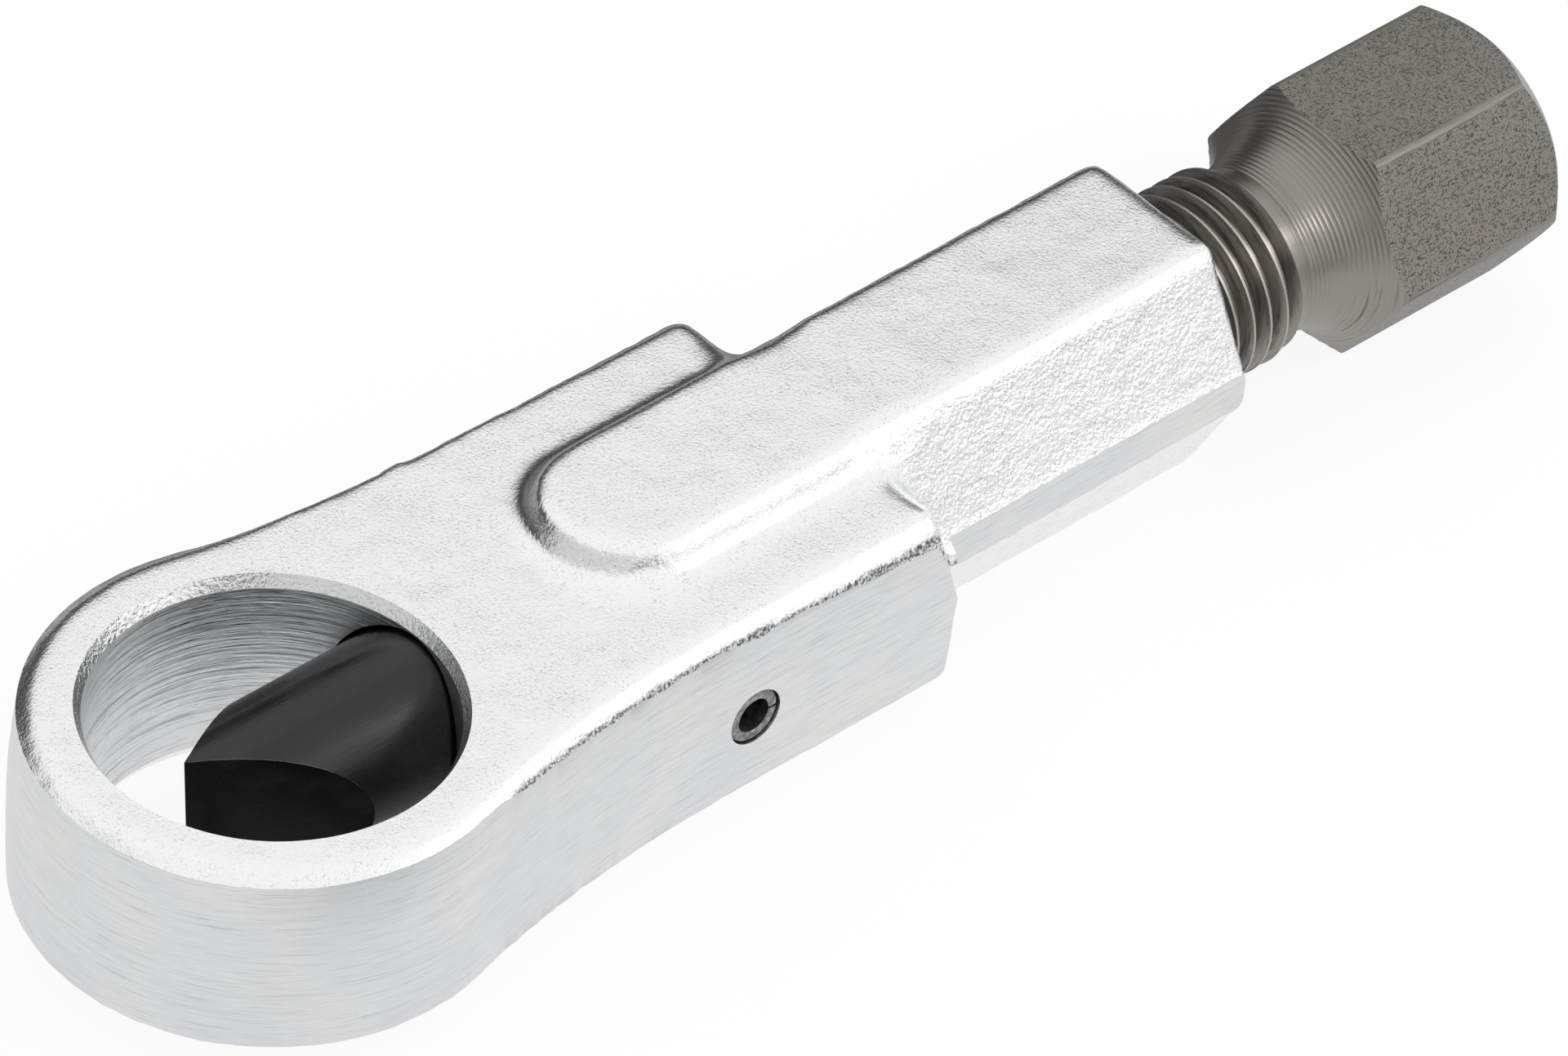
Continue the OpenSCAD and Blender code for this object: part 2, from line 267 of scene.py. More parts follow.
# Forged body: shape
# The blank comes out of the dies with soft edges and an uneven skin. Its sides are then ground to the outline
# of eye, flanks and shank, which leaves a ragged line, and it is bored, drilled and tapped.
EYE_R = -cad_low.x
BORE_R = 11.85 * MM
CHAMFER_W = 0.5 * MM
CHAMFER_H = 0.85 * MM
HALF_T = 7.25 * MM
HALF_W = 13.15 * MM
FLANK_R = 100 * MM
UPPER_CROWN = 0.55 * MM
LOWER_CROWN = 0.15 * MM
SHANK_HALF_W = 9.8 * MM
SHANK_START_X = 48.6 * MM
SHANK_END_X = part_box("forged_body")[1].x
CORE_R = 6.25 * MM
TAPPED_R = 6.95 * MM
TAPPED_X = 36 * MM
PIN_X = 29.1 * MM
PIN_Z = -0.7 * MM
PIN_R = 2 * MM
PAST = 2 * MM
EYE_STOCK = 0.05 * MM
EYE_STOCK_HALF_T = 6.5 * MM
SIDE_STOCK = 0.28 * MM
REAR_STOCK = 0.2 * MM
REAR_STOCK_X = 29 * MM
UPRIGHT = 0.15
SLOPING = 0.6
REARWARD = 0.55
VOXEL = 0.3 * MM
SOFTEN = 20
SHOULDER_SOFTEN = 140
SHOULDER_REACH = 4.5 * MM
SHOULDER_AT = Vector((46.3, 7.4, 6.7)) * MM
SHOULDER_GAIN = 1.6
REAR_STOCK_RAMP = 6 * MM
EYE_PLUG_LAP = 1.2 * MM
BORE_STOCK = 0.25 * MM
PIN_STOCK_R = PIN_R * 1.2
ENVELOPE_HALF_T = HALF_T * 1.5
ENVELOPE_LEVELS = 10
DIE_WEAR_SIZE = 4 * MM
DIE_WEAR = 0.08 * MM
PIT_SIZE = 1.1 * MM
PIT_DEPTH = 0.1 * MM
PITS_ON_FLATS = 0.2
PITS_BY_SLOPE = 2
MOUTH_R = BORE_R + CHAMFER_W
TAP_LEAD = 3 * MM
BORE_CHAMFER = 0.6 * MM
PIN_HOLE_GAP = 0.06 * MM
SEAM = 0.001 * MM


def take(piece):
    """Makes a piece the only one that is selected and active."""
    bpy.ops.object.select_all(action="DESELECT")
    piece.select_set(True)
    bpy.context.view_layer.objects.active = piece
    return piece


def merged_copy(node, name):
    """New piece with a CAD node's mesh, its loose triangles merged."""
    piece = bpy.data.objects.new(name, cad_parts[node].data.copy())
    bpy.context.scene.collection.objects.link(piece)
    take(piece)
    bpy.ops.object.mode_set(mode="EDIT")
    bpy.ops.mesh.select_all(action="SELECT")
    bpy.ops.mesh.remove_doubles(threshold=2 * SEAM)
    bpy.ops.object.mode_set(mode="OBJECT")
    piece.data.materials.clear()
    return piece


def smooth(piece, crease):
    """Shades a piece smooth, apart from edges that turn by more than the crease, in degrees."""
    take(piece)
    bpy.ops.object.shade_smooth_by_angle(angle=math.radians(crease))


def round_bar(name, radius, start, end, sides=96):
    """Round bar between two points."""
    start, end = Vector(start), Vector(end)
    bpy.ops.object.select_all(action="DESELECT")
    bpy.ops.mesh.primitive_cylinder_add(
        vertices=sides, radius=radius, depth=(end - start).length, location=(start + end) / 2,
        rotation=(end - start).to_track_quat("Z", "Y").to_euler())
    piece = bpy.context.object
    piece.name = name
    bpy.ops.object.transform_apply(location=True, rotation=True, scale=True)
    return piece


def joined(first, *others):
    """Joins pieces into the first one."""
    take(first)
    for other in others:
        other.select_set(True)
    bpy.ops.object.join()
    return first


def finish_with(piece, kind, **settings):
    """Adds a modifier with these settings to a piece and applies it."""
    take(piece)
    modifier = piece.modifiers.new(kind.lower(), kind)
    for name, value in settings.items():
        setattr(modifier, name, value)
    bpy.ops.object.modifier_apply(modifier=modifier.name)


def cut(piece, tool, operation="DIFFERENCE"):
    """Cuts a piece with a tool that leaves its own finish, and puts the tool away."""
    finish_with(piece, "BOOLEAN", operation=operation, object=tool, solver="EXACT", material_mode="TRANSFER")
    bpy.data.objects.remove(tool)


def start_chain(name, point):
    """New mesh of one point, in edit mode, from which a chain is drawn."""
    bpy.ops.object.select_all(action="DESELECT")
    bpy.ops.mesh.primitive_plane_add(size=MM)
    piece = bpy.context.object
    piece.name = name
    bpy.ops.object.mode_set(mode="EDIT")
    bpy.ops.mesh.merge(type="CENTER")
    bpy.ops.transform.translate(value=point)
    return piece


def draw_line(start, end):
    """Draws the chain on by a straight stretch."""
    bpy.ops.mesh.extrude_region_move(TRANSFORM_OT_translate={"value": Vector(end) - Vector(start)})


def draw_arc(centre, degrees, steps):
    """Draws the chain on by an arc round an upright axis."""
    bpy.ops.mesh.spin(steps=steps, angle=-math.radians(degrees), center=centre, axis=(0, 0, 1))


def turned(name, profile, axis, steps=96, finishes=()):
    """Solid of revolution round X, Y or Z, from a profile of (place along the axis, radius)."""
    along = Vector([letter == axis for letter in "XYZ"])
    outward = Vector((0, 0, 1)) if axis == "X" else Vector((1, 0, 0))
    points = [along * place + outward * radius for place, radius in profile]
    piece = start_chain(name, points[0])
    for start, end in zip(points, points[1:]):
        draw_line(start, end)
    bpy.ops.mesh.select_all(action="SELECT")
    bpy.ops.mesh.spin(steps=steps, angle=2 * math.pi, center=(0, 0, 0), axis=along)
    bpy.ops.mesh.select_all(action="SELECT")
    bpy.ops.mesh.remove_doubles(threshold=SEAM)
    bpy.ops.mesh.normals_make_consistent(inside=False)
    bpy.ops.object.mode_set(mode="OBJECT")
    for finish in finishes:
        piece.data.materials.append(finish)
    return piece


def ground_envelope():
    """What the grinding belt and the trimming tool leave: the plan outline, raised with a slight crown."""
    flank_y = HALF_W + FLANK_R
    flank_x = math.sqrt((EYE_R + FLANK_R) ** 2 - flank_y ** 2)
    flank_turn = math.degrees(math.atan2(flank_y, flank_x))
    reach = SHANK_END_X + PAST
    corner = Vector((SHANK_START_X, -HALF_W, 0))
    waist = Vector((SHANK_START_X, -SHANK_HALF_W, 0))
    rear = Vector((reach, -SHANK_HALF_W, 0))
    piece = start_chain("ground_envelope", (-EYE_R, 0, 0))
    draw_arc((0, 0, 0), 180 - flank_turn, 60)
    draw_arc((flank_x, -flank_y, 0), flank_turn - 90, 24)
    draw_line((flank_x, -HALF_W, 0), corner)
    draw_line(corner, waist)
    draw_line(waist, rear)
    draw_line(rear, (reach, 0, 0))
    levels = [ENVELOPE_HALF_T * (step / (ENVELOPE_LEVELS / 2) - 1) for step in range(ENVELOPE_LEVELS + 1)]
    bpy.ops.mesh.select_all(action="SELECT")
    bpy.ops.transform.translate(value=(0, 0, levels[0]))
    for low, high in zip(levels, levels[1:]):
        bpy.ops.mesh.extrude_region_move(TRANSFORM_OT_translate={"value": (0, 0, high - low)})
    bpy.ops.mesh.select_all(action="SELECT")
    bpy.ops.mesh.normals_make_consistent(inside=False)
    bpy.ops.object.mode_set(mode="OBJECT")
    for vertex in piece.data.vertices:
        crown = UPPER_CROWN if vertex.co.z > 0 else LOWER_CROWN
        swell = crown * (vertex.co.z / HALF_T) ** 2
        sideways = -abs(vertex.normal.y) if vertex.co.y < -MM / 100 else 0
        if vertex.co.x < SHANK_START_X - MM:
            vertex.co -= Vector((vertex.normal.x, sideways, 0)).normalized() * swell
    finish_with(piece, "MIRROR", use_axis=(False, True, False), merge_threshold=10 * SEAM)
    bpy.ops.object.mode_set(mode="EDIT")
    bpy.ops.mesh.select_all(action="SELECT")
    bpy.ops.mesh.fill_holes(sides=0)
    bpy.ops.mesh.select_all(action="SELECT")
    bpy.ops.mesh.normals_make_consistent(inside=False)
    bpy.ops.object.mode_set(mode="OBJECT")
    piece.data.materials.append(zinc_ground)
    return piece


def swell_texture(name, size):
    """Cloud noise with features of this size."""
    texture = bpy.data.textures.new(name, "CLOUDS")
    texture.noise_scale = size
    texture.noise_depth = 2
    return texture


body = joined(
    merged_copy("forged_body", "forged_body_skin"),
    round_bar("eye_stock", EYE_R + EYE_STOCK, (0, 0, -EYE_STOCK_HALF_T), (0, 0, EYE_STOCK_HALF_T)),
    round_bar("eye_plug", BORE_R + EYE_PLUG_LAP, (0, 0, -HALF_T), (0, 0, HALF_T)),
    round_bar("bore_stock", TAPPED_R + BORE_STOCK, (EYE_R / 2, 0, 0), (SHANK_END_X, 0, 0)),
    round_bar("pin_stock", PIN_STOCK_R, (PIN_X, -HALF_W, PIN_Z), (PIN_X, 0, PIN_Z)))
finish_with(body, "REMESH", mode="VOXEL", voxel_size=VOXEL)
finish_with(body, "SMOOTH", factor=0.5, iterations=SOFTEN)
shoulder = body.vertex_groups.new(name="shoulder")
for vertex in body.data.vertices:
    away = (Vector((vertex.co.x, abs(vertex.co.y), abs(vertex.co.z))) - SHOULDER_AT).length
    if away < SHOULDER_REACH:
        shoulder.add([vertex.index], min(1, SHOULDER_GAIN * (1 - away / SHOULDER_REACH)), "REPLACE")
finish_with(body, "SMOOTH", factor=0.5, iterations=SHOULDER_SOFTEN, vertex_group=shoulder.name)
skin_normals = [vertex.normal.copy() for vertex in body.data.vertices]
for vertex, normal in zip(body.data.vertices, skin_normals):
    steepness = max(0, 1 - abs(normal.z) / SLOPING) + max(0, 1 - abs(normal.z) / UPRIGHT)
    beside = min(1, max(0, (REARWARD - normal.x) / (REARWARD / 2)))
    stock = SIDE_STOCK + REAR_STOCK * min(1, max(0, (vertex.co.x - REAR_STOCK_X) / REAR_STOCK_RAMP))
    vertex.co += Vector((normal.x, normal.y, 0)) * stock * steepness * beside
worn = body.vertex_groups.new(name="worn_edges")
for index, normal in enumerate(skin_normals):
    worn.add([index], min(1, PITS_ON_FLATS + PITS_BY_SLOPE * (1 - abs(normal.z))), "REPLACE")
finish_with(body, "DISPLACE", texture=swell_texture("die_wear", DIE_WEAR_SIZE), texture_coords="LOCAL",
            strength=DIE_WEAR, mid_level=0.5)
finish_with(body, "DISPLACE", texture=swell_texture("scale_pits", PIT_SIZE), texture_coords="LOCAL",
            strength=PIT_DEPTH, mid_level=0.5, vertex_group=worn.name)
body.data.materials.append(zinc_forged)
cut(body, ground_envelope(), "INTERSECT")
eye_cutter = turned("eye_cutter", [
    (-HALF_T - PAST, 0), (-HALF_T - PAST, MOUTH_R), (-HALF_T, MOUTH_R), (-HALF_T + CHAMFER_H, BORE_R),
    (HALF_T - CHAMFER_H, BORE_R), (HALF_T, MOUTH_R), (HALF_T + PAST, MOUTH_R), (HALF_T + PAST, 0)],
    "Z", 160, [zinc_bored, zinc_chamfer])
for face in eye_cutter.data.polygons:
    if abs(face.center.z) > HALF_T - CHAMFER_H:
        face.material_index = 1
cut(body, eye_cutter)
cut(body, turned("bore_cutter", [
    (0, 0), (0, CORE_R), (TAPPED_X - TAP_LEAD, CORE_R), (TAPPED_X, TAPPED_R),
    (SHANK_END_X - BORE_CHAMFER, TAPPED_R), (SHANK_END_X + PAST, TAPPED_R + BORE_CHAMFER + PAST),
    (SHANK_END_X + PAST, 0)], "X", 96, [zinc_bored]))
pin_cutter = round_bar(
    "pin_cutter", PIN_R + PIN_HOLE_GAP, (PIN_X, -HALF_W - PAST, PIN_Z), (PIN_X, 0, PIN_Z), 64)
pin_cutter.data.materials.append(zinc_bored)
cut(body, pin_cutter)
smooth(body, 27)
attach(body, "body")
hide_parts("forged_body")

# Chisel
# A round bar of tool steel, ground to a wedge at its front end, with a keyway milled along one side for the
# pin. It is hardened and finished in black oxide, which has rubbed off along its edges.
CHISEL_R = 5.95 * MM
WEDGE_HALF_ANGLE = math.radians(30)
EDGE_LEAN = math.radians(4)
KEYWAY_R = 2.3 * MM
KEYWAY_FRONT_X = 14.1 * MM
KEYWAY_REAR_X = 33.9 * MM
KEYWAY_FLOOR_Y = -2.7 * MM
BLACK_OXIDE = (0.004, 0.004, 0.0042, 1)
BLACK_OXIDE_RUBBED = (0.012, 0.012, 0.0118, 1)
WORN_EDGE = (0.55, 0.53, 0.5, 1)
EDGE_BEVEL = 0.24 * MM
EDGE_ANGLE = math.radians(35)
SAME_WAY = 0.999


def black_oxide(name, gloss):
    """Satin black finish with faint grinding lines and rubbed patches."""
    material, tree, shader, position = new_material(name, 0.32, metallic=0.0)
    shader.inputs["Specular IOR Level"].default_value = gloss
    patch = stretched_noise(tree, position, (0.25, 0.5, 0.5), detail=5.0)
    rubbed = steps_between(tree, patch, 0.5, 0.75)
    colour = blend_colours(tree, rubbed, BLACK_OXIDE, BLACK_OXIDE_RUBBED)
    tree.links.new(colour, shader.inputs["Base Color"])
    tree.links.new(steps_between(tree, patch, 0.3, 0.7, 0.22, 0.36), shader.inputs["Roughness"])
    grain = stretched_noise(tree, position, (0.4, 5.0, 5.0), detail=4.0)
    add_bump(tree, shader, grain, 0.012 * MM)
    return material


def worn_edge():
    """Edge where the black has gone in places and the steel shows."""
    material, tree, shader, position = new_material("worn_edge", 0.4)
    patch = stretched_noise(tree, position, (1.1, 1.1, 0.7), detail=4.0)
    bare = steps_between(tree, patch, 0.3, 0.5)
    tree.links.new(blend_colours(tree, bare, BLACK_OXIDE, WORN_EDGE), shader.inputs["Base Color"])
    return material


chisel_low, chisel_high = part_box("chisel")
chisel = round_bar("chisel_bar", CHISEL_R, (chisel_low.x, 0, 0), (chisel_high.x, 0, 0), 160)
bpy.ops.object.mode_set(mode="EDIT")
flank_normals = []
for side in (1, -1):
    flank_normal = Vector((
        -math.sin(WEDGE_HALF_ANGLE),
        side * math.cos(WEDGE_HALF_ANGLE) * math.cos(EDGE_LEAN),
        -side * math.cos(WEDGE_HALF_ANGLE) * math.sin(EDGE_LEAN)))
    flank_normals.append(flank_normal)
    bpy.ops.mesh.select_all(action="SELECT")
    bpy.ops.mesh.bisect(
        plane_co=(chisel_low.x, 0, 0), plane_no=flank_normal, use_fill=True, clear_outer=True)
bpy.ops.object.mode_set(mode="OBJECT")
slot_mill = round_bar(
    "slot_mill", KEYWAY_R, (KEYWAY_FRONT_X, KEYWAY_FLOOR_Y, PIN_Z),
    (KEYWAY_FRONT_X, KEYWAY_FLOOR_Y - CHISEL_R, PIN_Z), 64)
for vertex in slot_mill.data.vertices:
    if vertex.co.x > KEYWAY_FRONT_X:
        vertex.co.x += KEYWAY_REAR_X - KEYWAY_FRONT_X
# The third finish is the black oxide with less gloss: painted shade that makes the wedge flanks darker.
for finish in (black_oxide("black_oxide", 0.5), worn_edge(), black_oxide("black_oxide_shaded_flank", 0.1)):
    chisel.data.materials.append(finish)
cut(chisel, slot_mill)
finish_with(chisel, "BEVEL", width=EDGE_BEVEL, segments=2, limit_method="ANGLE", angle_limit=EDGE_ANGLE,
            material=1)
# The wedge flank faces take the low-gloss copy, which paints shade on them.
for face in chisel.data.polygons:
    if any(face.normal.dot(flank_normal) > SAME_WAY for flank_normal in flank_normals):
        face.material_index = 2
smooth(chisel, 20)
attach(chisel, "chisel")
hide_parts("chisel")

# Spring pin
# A slotted tube rolled from spring steel strip, tempered dark, driven into the cross hole until it lies just
# below the ground side. Its end shows the strip's thickness, with rounded edges and a narrow slot.
PIN_BORE_R = 1.25 * MM
PIN_SLOT = 0.16 * MM
PIN_ROUND = 0.16 * MM
SLOT_REACH = 1.2
TEMPERED = (0.16, 0.16, 0.16, 1)
TEMPERED_SCUFF = (0.42, 0.41, 0.4, 1)


def tempered_steel():
    """Dark spring steel, scuffed on its end."""
    material, tree, shader, position = new_material("tempered_steel", 0.42)
    scuff = steps_between(tree, stretched_noise(tree, position, (2.0, 2.0, 2.0), detail=5.0), 0.42, 0.68)
    tree.links.new(blend_colours(tree, scuff, TEMPERED, TEMPERED_SCUFF), shader.inputs["Base Color"])
    add_bump(tree, shader, stretched_noise(tree, position, (4.0, 4.0, 4.0)), 0.03 * MM)
    return material


pin_low, pin_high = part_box("spring_pin")
pin = turned("spring_pin_tube", [
    (pin_high.y, PIN_BORE_R), (pin_high.y, PIN_R - PIN_ROUND), (pin_high.y - 2 * PIN_ROUND, PIN_R),
    (pin_low.y + 2 * PIN_ROUND, PIN_R), (pin_low.y + PIN_ROUND / 2, PIN_R - PIN_ROUND / 3),
    (pin_low.y, PIN_R - PIN_ROUND), (pin_low.y, PIN_BORE_R + PIN_ROUND / 3),
    (pin_low.y + PIN_ROUND / 3, PIN_BORE_R), (pin_high.y, PIN_BORE_R)], "Y", 72, [tempered_steel()])
take(pin)
bpy.ops.transform.translate(value=(PIN_X, 0, PIN_Z))
bpy.ops.object.transform_apply(location=True, rotation=True, scale=True)
bpy.ops.mesh.primitive_cube_add(size=1, location=(PIN_X + PIN_R, (pin_low.y + pin_high.y) / 2, PIN_Z))
slot_tool = bpy.context.object
slot_tool.scale = (PIN_R * 2, (pin_high.y - pin_low.y) * SLOT_REACH, PIN_SLOT)
bpy.ops.object.transform_apply(location=True, rotation=True, scale=True)
cut(pin, slot_tool)
smooth(pin, 30)
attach(pin, "body")
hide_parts("spring_pin")

# Spindle
# A hexagonal steel bar, turned down at one end to a pilot and a fine right-hand thread, with a hollow neck
# between thread and hexagon. It is hardened and left bare, so the feed marks, flecks and corners show.
PITCH = 1.5 * MM
CREST_R = 6.9 * MM
ROOT_R = 6.0 * MM
THREAD_START_X = 46.05 * MM
THREAD_END_X = 84 * MM
RUN_OUT_SLOPE = 0.7
PILOT_R = 5.85 * MM
PILOT_CHAMFER = 0.8 * MM
NECK_R = 6.05 * MM
NECK_X = 84.6 * MM
HEX_FLAT_R = 8.5 * MM
HEX_CORNER_R = HEX_FLAT_R / math.cos(math.radians(30))
HEX_TURN = math.radians(33.5)
HEX_FRONT_X = 90.2 * MM
END_CHAMFER = 1.6 * MM
CORNER_BEVEL = 0.36 * MM
GROOVE_DEPTH = 0.045 * MM
GROOVES = 20
HEX_FLECKS = 0.42
STEEL = (0.29, 0.273, 0.257, 1)
STEEL_FLECK = (0.1, 0.094, 0.088, 1)
STEEL_BRIGHT = (0.42, 0.4, 0.38, 1)
STEEL_DARK = (0.13, 0.122, 0.116, 1)


def hexagon_steel():
    """Flats of the drawn bar: grey with short dark flecks."""
    material, tree, shader, position = new_material("hexagon_steel", 0.58)
    speck = add_node(tree, "ShaderNodeGroup", {"Position": position, "Cover": HEX_FLECKS}, node_tree=flecks)
    colour = blend_colours(tree, speck.outputs["Flecks"], STEEL, STEEL_FLECK)
    tree.links.new(colour, shader.inputs["Base Color"])
    add_bump(tree, shader, speck.outputs["Height"], 0.03 * MM)
    return material


def lined_steel(name, colour, line_colour, stretch, cover, depth, roughness):
    """Bare steel with the lines of a tool in it."""
    material, tree, shader, position = new_material(name, roughness)
    draw_tool_lines(tree, shader, position, colour, line_colour, stretch, cover, depth)
    return material


hex_flat = hexagon_steel()
hex_corner = lined_steel("corner_steel", STEEL, STEEL_DARK, (0.15, 6.0, 6.0), 0.5, 0.05 * MM, 0.55)
turned_steel = lined_steel("turned_steel", STEEL, STEEL_DARK, (6.0, 0.15, 0.15), 0.42, 0.02 * MM, 0.36)
thread_steel = lined_steel("thread_steel", STEEL, STEEL_DARK, (5.0, 0.2, 0.2), 0.55, 0.01 * MM, 0.4)
crest_steel = lined_steel("crest_steel", STEEL_BRIGHT, STEEL, (4.0, 0.3, 0.3), 0.45, 0.02 * MM, 0.45)


def thread_bar():
    """Right-hand screw thread along X, cut off square at both ends."""
    flat, flank = PITCH / 8, PITCH * 5 / 16
    profile = [(0, ROOT_R), (flat, ROOT_R), (flat + flank, CREST_R), (2 * flat + flank, CREST_R),
               (2 * flat + 2 * flank, ROOT_R), (PITCH, ROOT_R)]
    points = [Vector((THREAD_START_X - PITCH + x, 0, r)) for x, r in profile]
    piece = start_chain("thread_bar", points[0])
    for start, end in zip(points, points[1:]):
        draw_line(start, end)
    bpy.ops.object.mode_set(mode="OBJECT")
    turns = math.ceil((THREAD_END_X - THREAD_START_X) / PITCH) + 2
    finish_with(piece, "SCREW", axis="X", angle=2 * math.pi, screw_offset=PITCH, iterations=turns,
                steps=64, render_steps=64)
    bpy.ops.object.mode_set(mode="EDIT")
    bpy.ops.mesh.select_all(action="SELECT")
    bpy.ops.mesh.remove_doubles(threshold=SEAM)
    for place, side in ((THREAD_START_X, -1), (THREAD_END_X, 1)):
        bpy.ops.mesh.select_all(action="SELECT")
        bpy.ops.mesh.bisect(plane_co=(place, 0, 0), plane_no=(side, 0, 0), use_fill=True, clear_outer=True)
    bpy.ops.mesh.select_all(action="SELECT")
    bpy.ops.mesh.normals_make_consistent(inside=False)
    bpy.ops.object.mode_set(mode="OBJECT")
    for vertex in piece.data.vertices:
        radius = math.hypot(vertex.co.y, vertex.co.z)
        lead_in = PILOT_R + vertex.co.x - THREAD_START_X
        run_out = NECK_R + (THREAD_END_X - vertex.co.x) * RUN_OUT_SLOPE
        if radius > min(lead_in, run_out):
            vertex.co.yz = Vector((vertex.co.y, vertex.co.z)) * min(lead_in, run_out) / radius
    piece.data.materials.append(thread_steel)
    piece.data.materials.append(crest_steel)
    for face in piece.data.polygons:
        if all(math.hypot(*piece.data.vertices[i].co.yz) > CREST_R - PITCH / 50 for i in face.vertices):
            face.material_index = 1
    return piece


def hexagon_bar(start_x, end_x):
    """Hexagonal bar along X, its long corners drawn slightly round."""
    piece = round_bar("spindle_bar", HEX_CORNER_R, (start_x, 0, 0), (end_x, 0, 0), 6)
    first = max(math.atan2(-vertex.co.y, vertex.co.z) for vertex in piece.data.vertices)
    turn = Quaternion((1, 0, 0), HEX_TURN - first)
    for vertex in piece.data.vertices:
        vertex.co = turn @ vertex.co
    piece.data.materials.append(hex_flat)
    piece.data.materials.append(hex_corner)
    for edge in piece.data.edges:
        ends = [piece.data.vertices[i].co for i in edge.vertices]
        edge.select = abs(ends[0].x - ends[1].x) > MM
    bpy.ops.object.mode_set(mode="EDIT")
    bpy.ops.mesh.select_mode(type="EDGE")
    bpy.ops.mesh.bevel(offset=CORNER_BEVEL, segments=2, profile=0.5, material=1)
    bpy.ops.mesh.select_mode(type="VERT")
    bpy.ops.object.mode_set(mode="OBJECT")
    return piece


def neck_profile():
    """Outline of neck and head: grooved by the turning tool along the hollow flare."""
    rise, run = HEX_CORNER_R - NECK_R, HEX_FRONT_X - NECK_X
    radius = (rise ** 2 + run ** 2) / (2 * rise)
    sweep = math.acos(1 - (rise + MM / 4) / radius)
    points = [(THREAD_END_X - PITCH / 2, 0), (THREAD_END_X - PITCH / 2, NECK_R), (NECK_X, NECK_R)]
    for step in range(1, 4 * GROOVES + 1):
        angle = sweep * step / (4 * GROOVES)
        inward = GROOVE_DEPTH * math.sin(math.pi * (step % 4) / 4)
        points.append((NECK_X + (radius + inward) * math.sin(angle),
                       NECK_R + radius - (radius + inward) * math.cos(angle)))
    end_x = cad_high.x
    wide = HEX_CORNER_R + PAST
    run_out = END_CHAMFER + PAST
    points += [(points[-1][0], wide), (end_x - run_out, wide)]
    points += [(end_x, HEX_CORNER_R - END_CHAMFER), (end_x, 0)]
    return points


spindle_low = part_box("spindle")[0]
spindle = hexagon_bar(THREAD_END_X - PITCH, cad_high.x + PAST)
cut(spindle, turned("neck_and_head", neck_profile(), "X", 128, [turned_steel]), "INTERSECT")
pilot = turned("pilot", [
    (spindle_low.x, 0), (spindle_low.x, PILOT_R - PILOT_CHAMFER), (spindle_low.x + PILOT_CHAMFER, PILOT_R),
    (THREAD_START_X + PITCH, PILOT_R), (THREAD_START_X + PITCH, 0)], "X", 96, [turned_steel])
joined(spindle, thread_bar(), pilot)
spindle.name = "spindle_screw"
smooth(spindle, 24)
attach(spindle, "spindle")
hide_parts("spindle")

# Studio
# A pale sweep and an even white surround, with a large weak softbox in front on the right and a small strong
# one above it. Cards round the object and strips on the floor show only as reflections in the metal.
CAMERA_AT = Vector((-377.397, -416.386, 517.178)) * MM
CAMERA_AZIMUTH = math.radians(-45.308)
CAMERA_ELEVATION = math.radians(41.237)
CAMERA_ROLL = math.radians(4.792)
LENS = 281.55
SENSOR_W = 36
FLOOR_Z = cad_low.z - 0.05 * MM
FLOOR_SIZE = 40
PAPER = (0.9, 0.9, 0.9, 1)
WHITE = (1, 1, 1, 1)
GLOW_SHARE = 0.9
LIT_POINT = Vector((45, 0, 0)) * MM
CARD_STEPS = 24
STRIP_Z = FLOOR_Z + MM / 10

camera_data = bpy.data.cameras.new("camera")
camera_data.lens = LENS
camera_data.sensor_width = SENSOR_W
camera_data.clip_start = 0.01
camera = bpy.data.objects.new("camera", camera_data)
bpy.context.scene.collection.objects.link(camera)
bpy.context.scene.camera = camera
back = Vector((
    math.sin(CAMERA_AZIMUTH) * math.cos(CAMERA_ELEVATION),
    -math.cos(CAMERA_AZIMUTH) * math.cos(CAMERA_ELEVATION),
    math.sin(CAMERA_ELEVATION)))
camera.location = CAMERA_AT
camera.rotation_mode = "QUATERNION"
camera.rotation_quaternion = (-back).to_track_quat("-Z", "Y") @ Quaternion((0, 0, 1), CAMERA_ROLL)


def background_rays(tree):
    """1 for rays that should see the white background: from the camera, mirrored or through glass."""
    rays = add_node(tree, "ShaderNodeLightPath")
    seen = combine(tree, "MAXIMUM", rays.outputs["Is Camera Ray"], rays.outputs["Is Glossy Ray"])
    return combine(tree, "MAXIMUM", seen, rays.outputs["Is Transmission Ray"])


def floor_material():
    """White sweep that keeps a soft shadow."""
    material = bpy.data.materials.new("white_sweep")
    material.use_nodes = True
    tree = material.node_tree
    tree.nodes.remove(tree.nodes["Principled BSDF"])
    paper = add_node(tree, "ShaderNodeBsdfDiffuse", {"Color": PAPER})
    glow = add_node(tree, "ShaderNodeEmission", {"Color": WHITE, "Strength": 1.0})
    share = combine(tree, "MULTIPLY", background_rays(tree), GLOW_SHARE)
    mix = add_node(tree, "ShaderNodeMixShader", {"Fac": share})
    tree.links.new(paper.outputs[0], mix.inputs[1])
    tree.links.new(glow.outputs[0], mix.inputs[2])
    tree.links.new(mix.outputs[0], tree.nodes["Material Output"].inputs["Surface"])
    return material


bpy.ops.object.select_all(action="DESELECT")
bpy.ops.mesh.primitive_plane_add(size=FLOOR_SIZE, location=(0, 0, FLOOR_Z))
floor = bpy.context.object
floor.name = "floor"
floor.data.materials.append(floor_material())

world = bpy.data.worlds.new("surround")
bpy.context.scene.world = world
world.use_nodes = True
surround = world.node_tree.nodes["Background"]
surround.inputs["Color"].default_value = WHITE
surround.inputs["Strength"].default_value = 1.0


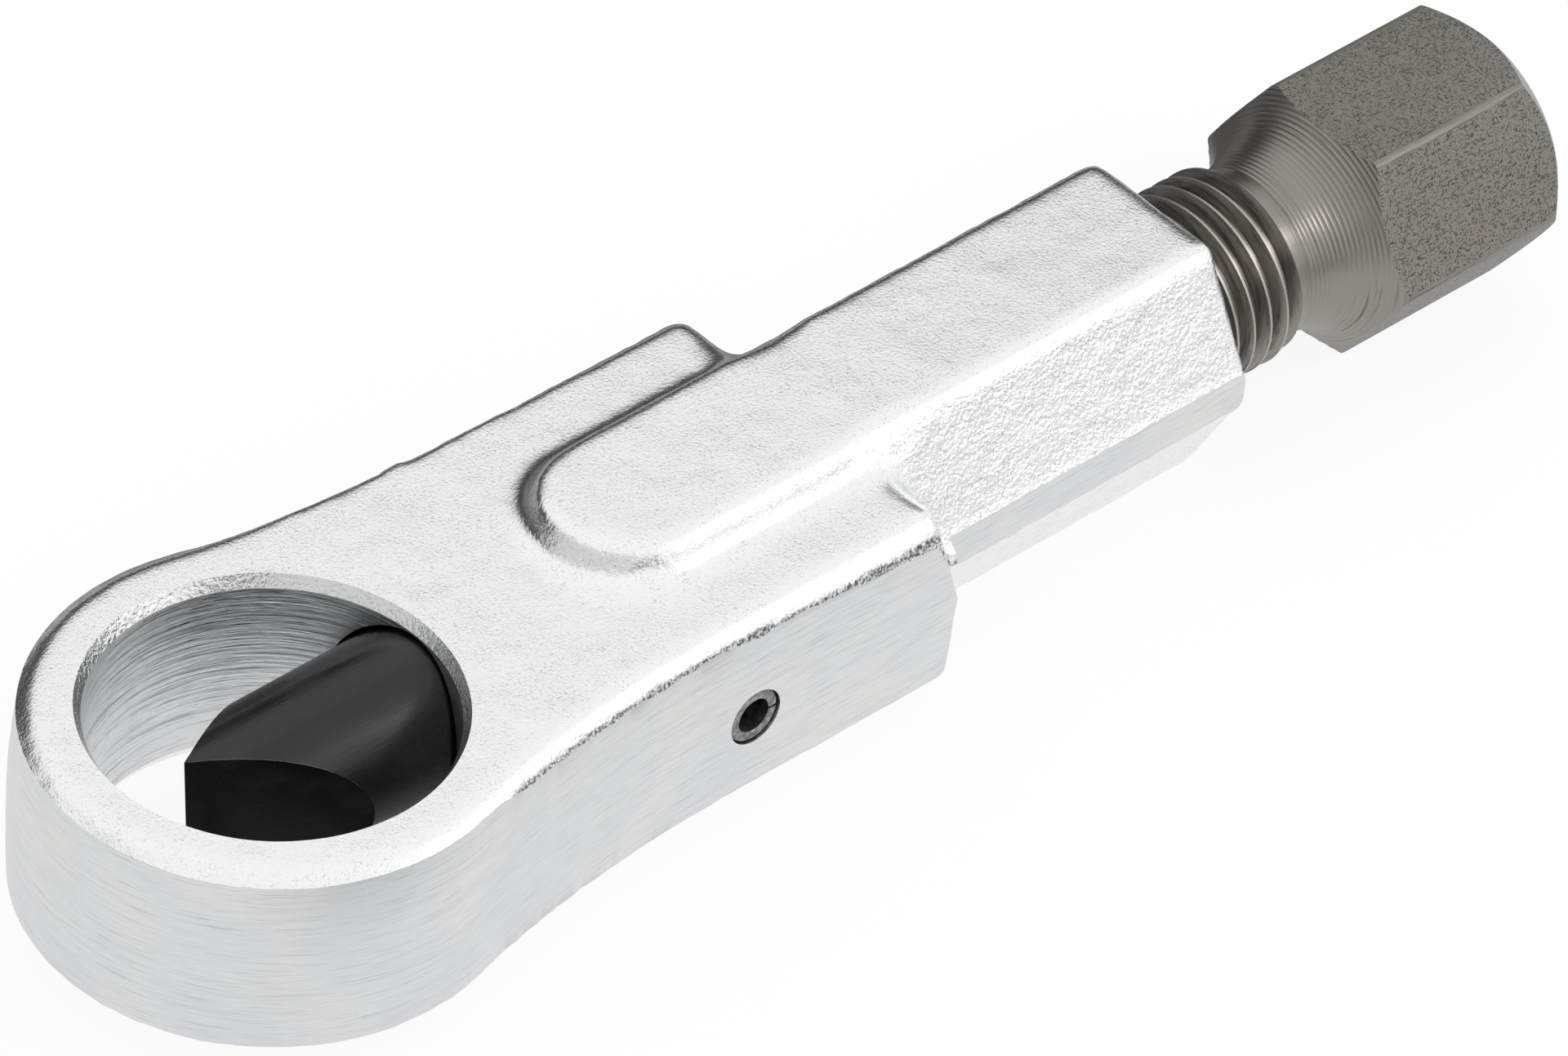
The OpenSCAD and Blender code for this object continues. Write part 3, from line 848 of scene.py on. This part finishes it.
def softbox(name, direction, distance, size, radiance):
    """Area lamp of this size that looks at the object from a direction."""
    light = bpy.data.lights.new(name, "AREA")
    light.shape = "RECTANGLE"
    light.size, light.size_y = size
    light.energy = radiance * math.pi * size[0] * size[1]
    lamp = bpy.data.objects.new(name, light)
    bpy.context.scene.collection.objects.link(lamp)
    lamp.location = Vector(direction).normalized() * distance + LIT_POINT
    lamp.rotation_mode = "QUATERNION"
    lamp.rotation_quaternion = (LIT_POINT - lamp.location).to_track_quat("-Z", "Y")


softbox("front_right_box", (0.53, -0.84, 0.32), 0.5, (0.5, 0.32), 0.05)
softbox("high_box", (0.53, -0.6, 0.6), 0.55, (0.11, 0.08), 16.0)


def reflected_only(card, shade):
    """Gives a card an even shade and hides it from all but reflections."""
    material = bpy.data.materials.new(card.name)
    material.use_nodes = True
    tree = material.node_tree
    tree.nodes.remove(tree.nodes["Principled BSDF"])
    flat = add_node(tree, "ShaderNodeEmission", {"Color": (shade, shade, shade, 1)})
    tree.links.new(flat.outputs[0], tree.nodes["Material Output"].inputs["Surface"])
    card.data.materials.append(material)
    card.visible_camera = False
    card.visible_diffuse = False
    card.visible_shadow = False


def dark_card(name, start_angle, end_angle, radius, high, shade):
    """Curved card that stands round the object between two angles in degrees, seen only as a reflection."""
    start = Vector((math.cos(math.radians(start_angle)), math.sin(math.radians(start_angle)), 0)) * radius
    card = start_chain(name, start + Vector((0, 0, FLOOR_Z)))
    draw_line((0, 0, FLOOR_Z), (0, 0, high))
    bpy.ops.mesh.select_all(action="SELECT")
    draw_arc((0, 0, 0), end_angle - start_angle, CARD_STEPS)
    bpy.ops.object.mode_set(mode="OBJECT")
    reflected_only(card, shade)


def dark_strip(name, low, high, shade):
    """Strip that lies on the floor, seen only as a reflection."""
    bpy.ops.object.select_all(action="DESELECT")
    low, high = Vector(low), Vector(high)
    bpy.ops.mesh.primitive_plane_add(size=1, location=(*((low + high) / 2), STRIP_Z))
    strip = bpy.context.object
    strip.name = name
    strip.scale = (*(high - low), 1)
    reflected_only(strip, shade)


dark_strip("front_strip", (-0.05, -0.13), (0.25, -0.055), 0.03)
dark_strip("rear_strip", (0.0, 0.02), (0.15, 0.12), 0.2)
dark_card("rear_card", 20, 137, 0.35, 0.2, 0.03)
dark_card("left_card", 137, 241, 0.36, 0.4, 0.68)
dark_card("front_card", 241, 267, 0.37, 0.15, 0.03)

bpy.context.scene.view_settings.view_transform = "Standard"
